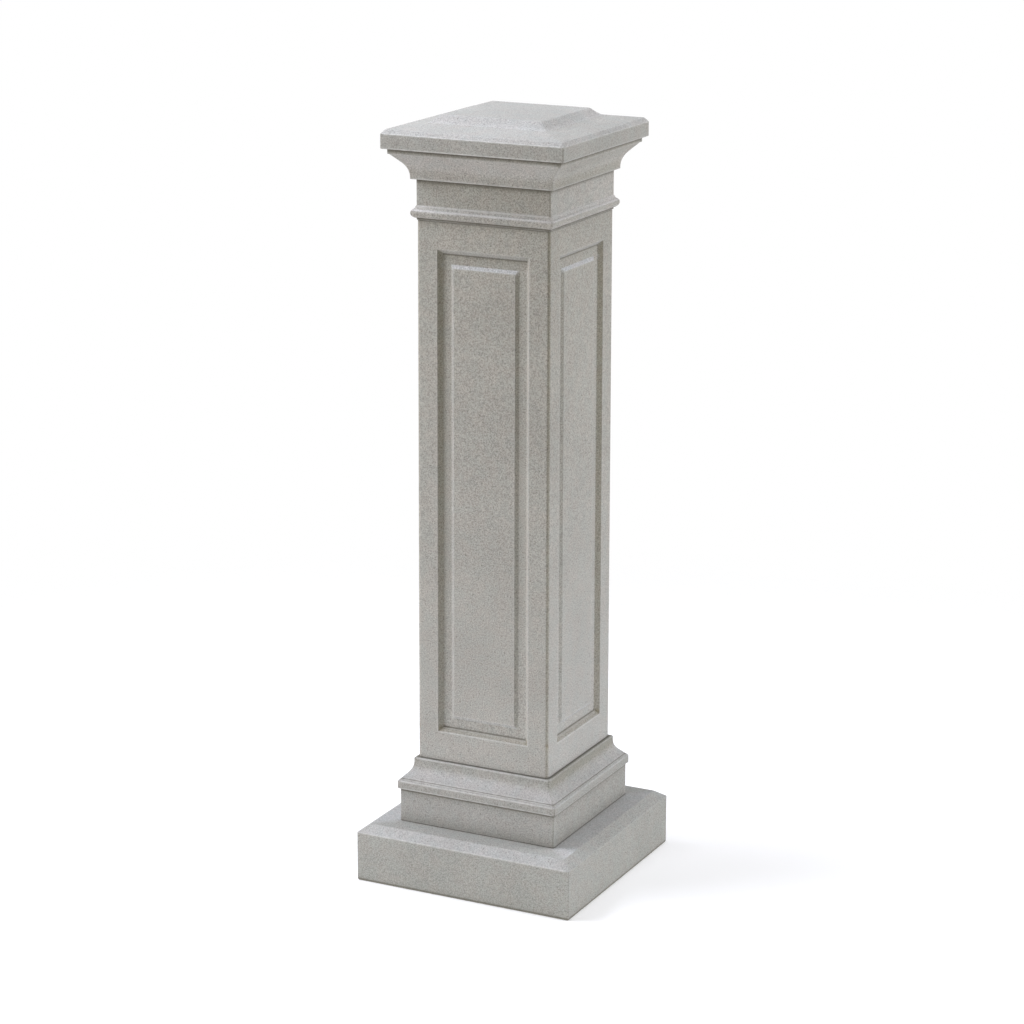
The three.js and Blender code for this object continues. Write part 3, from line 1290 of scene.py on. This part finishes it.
    def mesh(self) -> Mesh:
        """Models one side and carries it round the square.

        Returns:
            The closed die in millimetres.
        """
        bm = bmesh.new()
        self.panel(bm)
        self.divide(bm)
        self.quarters(bm)
        self.close(bm)
        self.round_beds(bm)
        self.round_corners(bm)
        self.taper(bm)
        bmesh.ops.recalc_face_normals(bm, faces=bm.faces[:])
        return bm

    def joints(self) -> Iterable[tuple[float, float]]:
        """Dirt lies at its beds, and shade is painted at the head and the foot of its panels.

        Returns:
            Half width and level of each ring of dirt or painted shade.
        """
        return (
            (self.half, self.bottom),
            (self.half - self.panel_depth, self.bottom + self.foot_margin + self.panel_splay),
            (self.top_half - self.panel_depth, self.top - self.head_margin - self.panel_splay),
            (self.top_half, self.top),
        )


@dataclass(frozen=True)
class Softbox:
    """A broad studio light that looks at the pillar's axis at the height of its aim."""

    name: str
    azimuth: float
    elevation: float
    distance: float
    width: float
    height: float
    power: float
    tint: Colour
    aim: float = 0.85

    def build(self) -> bpy.types.Object:
        """Hangs the light.

        Returns:
            The light's object.
        """
        data = bpy.data.lights.new(self.name, "AREA")
        data.shape = "RECTANGLE"
        data.size, data.size_y = self.width, self.height
        data.energy = self.power
        data.color = self.tint
        lamp = bpy.data.objects.new(self.name, data)
        back = direction(self.azimuth, self.elevation)
        lamp.location = Vector((0.0, 0.0, self.aim)) + back * self.distance
        lamp.rotation_mode = "QUATERNION"
        lamp.rotation_quaternion = (-back).to_track_quat("-Z", "Y")
        lamp.visible_camera = False
        bpy.context.scene.collection.objects.link(lamp)
        return lamp


@dataclass
class Studio:
    """Pale floor, white surroundings, soft lights and the camera."""

    softboxes: Sequence[Softbox]
    floor_radius: float = 2.6
    floor_sides: int = 96
    floor_fade: Range = (0.75, 2.496)
    floor_colour: Colour = (0.78, 0.78, 0.78)
    floor_glow: float = 0.30
    white: Colour = (1.0, 1.0, 1.0)
    fill: float = 0.178
    fill_tint: Colour = (1.062, 1.01, 0.901)
    azimuth: float = 26.522
    elevation: float = 15.428
    roll: float = -0.143
    position: tuple[float, float, float] = (2.7327, -5.4908, 2.4653)
    lens: float = 108.01
    sensor: float = 36.0
    sight: float = 100.0

    def camera(self) -> bpy.types.Object:
        """Sets up the camera at the photograph's angle.

        Returns:
            The camera's object.
        """
        data = bpy.data.cameras.new("camera")
        data.sensor_width = self.sensor
        data.lens = self.lens
        data.clip_end = self.sight
        back = direction(self.azimuth, self.elevation)
        right = (-back).cross(Vector((0, 0, 1))).normalized()
        up = back.cross(right)
        tilt = math.radians(self.roll)
        turned = right * math.cos(tilt) - up * math.sin(tilt)
        upright = up * math.cos(tilt) + right * math.sin(tilt)
        eye = bpy.data.objects.new("camera", data)
        axes = Matrix((turned, upright, back)).transposed().to_4x4()
        eye.matrix_world = Matrix.Translation(self.position) @ axes
        bpy.context.scene.collection.objects.link(eye)
        bpy.context.scene.camera = eye
        return eye

    def floor(self) -> bpy.types.Object:
        """Lays a pale round floor that fades into the white surroundings.

        Returns:
            The floor's object.
        """
        bm = bmesh.new()
        bmesh.ops.create_circle(bm, cap_ends=True, segments=self.floor_sides, radius=self.floor_radius)
        data = bpy.data.meshes.new("floor")
        bm.to_mesh(data)
        bm.free()
        data.materials.append(self.floor_finish())
        floor = bpy.data.objects.new("floor", data)
        bpy.context.scene.collection.objects.link(floor)
        return floor

    def floor_finish(self) -> bpy.types.Material:
        """Pale matt floor that glows a little, clear towards its rim.

        Returns:
            The material.
        """
        made = bpy.data.materials.new("pale_floor")
        made.use_nodes = True
        graph = NodeGraph(made.node_tree)
        centred = graph.add("VectorMath", {0: graph.place(Vector((0, 0, 0)))}, operation="LENGTH")
        faded = graph.span(centred.outputs["Value"], self.floor_fade, UNIT)
        matt = graph.add("BsdfDiffuse", {"Color": self.floor_colour})
        glow = graph.add("Emission", {"Strength": self.floor_glow})
        lit = graph.add("AddShader", {0: matt.outputs[0], 1: glow.outputs[0]})
        clear = graph.add("BsdfTransparent")
        graph.show(graph.add("MixShader", {0: faded, 1: lit.outputs[0], 2: clear.outputs[0]}))
        return made

    def surroundings(self) -> bpy.types.World:
        """White to look at, and a dim even fill as a light.

        Returns:
            The world.
        """
        world = bpy.data.worlds.new("surroundings")
        world.use_nodes = True
        graph = NodeGraph(world.node_tree, "OutputWorld")
        light = graph.add("Background", {"Color": self.fill_tint, "Strength": self.fill})
        seen = graph.add("Background", {"Color": self.white, "Strength": 1.0})
        to_camera = graph.add("LightPath").outputs["Is Camera Ray"]
        graph.show(graph.add("MixShader", {0: to_camera, 1: light.outputs[0], 2: seen.outputs[0]}))
        bpy.context.scene.world = world
        return world

    def build(self) -> None:
        """Sets the whole studio up."""
        self.camera()
        self.floor()
        self.surroundings()
        for softbox in self.softboxes:
            softbox.build()
        bpy.context.scene.view_settings.view_transform = "Standard"


# Name, azimuth, elevation, distance, width, height, power and tint of each light
SOFTBOXES = (
    Softbox("top_left", -90.0, 66.0, 2.8, 2.2, 2.2, 23.0, (0.944, 0.978, 1.045)),
    Softbox("top_rear", 155.0, 66.0, 2.8, 2.2, 2.2, 30.1, (0.92, 0.952, 1.093)),
    Softbox("high_left", -65.0, 48.0, 3.2, 1.8, 1.8, 92.3, (0.926, 0.956, 1.082)),
    Softbox("low_left", -65.0, 0.0, 3.4, 1.8, 1.6, 26.0, (0.995, 0.974, 1.0)),
    Softbox("low_front_left", -45.0, 0.0, 3.4, 1.8, 1.6, 25.9, (1.008, 0.969, 0.992)),
    Softbox("right", 115.0, 12.0, 3.4, 1.8, 2.6, 83.0, (0.963, 0.974, 1.032)),
    Softbox("front", 26.0, 12.0, 3.4, 1.8, 2.6, 13.6, (1.057, 1.035, 0.881)),
)


def castings() -> list[Casting]:
    """The five castings from the ground up.

    Returns:
        Each casting with its node, beds, rounding of the upright arrises, finish, weathering with painted
        light and shade, tones at its beds, which paint the shaft lighter low down, and tone of those
        arrises, a stain with painted shade.
    """
    weathering = Weathering()
    # A wider darkening beside the base's joints, partly dust and partly painted shade
    dusty_and_shaded = Weathering(dust=0.4, dust_and_shade_reach=7.0)
    # Wider lines of wear with painted highlight, and of dirt with painted shade, on the capital
    streaked_and_shaded = Weathering(wear_and_highlight_reach=2.1, grime_and_shade_reach=4.0)
    plinth = CastStone("plinth_cast_stone", body=(0.388, 0.388, 0.378), shade=(0.361, 0.361, 0.351))
    base = CastStone(
        "base_cast_stone",
        body=(0.394, 0.390, 0.379),
        shade=(0.366, 0.363, 0.352),
        offset=(0.31, 0.12, 0.07),
    )
    shaft = CastStone(
        "shaft_cast_stone",
        body=(0.392, 0.389, 0.382),
        shade=(0.365, 0.362, 0.356),
        # An olive stain with painted shade at the dark end of the tone, and painted light at the light end
        stain_and_shade=(0.75, 0.69, 0.535),
        painted_light=(1.285, 1.305, 1.34),
        offset=(0.57, 0.83, 0.29),
        grain_depth=0.30,
    )
    capital = CastStone(
        "capital_cast_stone",
        body=(0.400, 0.389, 0.363),
        shade=(0.372, 0.362, 0.337),
        offset=(0.13, 0.47, 0.61),
        grain_depth=0.32,
    )
    # A paler colour for the cap's worn arrises and painted highlights
    cap = CastStone("cap_cast_stone", pale=(0.68, 0.68, 0.66), offset=(0.91, 0.23, 0.37), grain_depth=0.26)
    ground, plinth_top, base_top, shaft_top, capital_top, cap_top = BEDS
    return [
        Plinth("plinth", ground, plinth_top, 2.4, plinth, weathering, (0.90, 0.92)),
        BaseMoulding("base_moulding", plinth_top, base_top, 3.0, base, dusty_and_shaded, (0.975, 0.975), 0.92),
        # The shaft is painted lighter towards its foot
        Shaft("shaft", base_top, shaft_top, 6.0, shaft, weathering, (1.06, 0.935), 0.87),
        Capital("capital", shaft_top, capital_top, 3.0, capital, streaked_and_shaded, (1.0, 1.0), 0.86),
        Cap("cap", capital_top, cap_top, 2.4, cap, weathering, (0.95, 0.95)),
    ]


def main() -> None:
    """Loads the frame, builds the castings and the studio, and notes the sizes."""
    logging.basicConfig(level=logging.INFO, format="%(message)s")
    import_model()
    for casting in castings():
        piece = casting.build()
        counts = len(piece.data.vertices), len(piece.data.polygons)
        LOG.info("%s: %d vertices, %d faces", piece.name, *counts)
    Studio(SOFTBOXES).build()


if __name__ == "__main__":
    main()
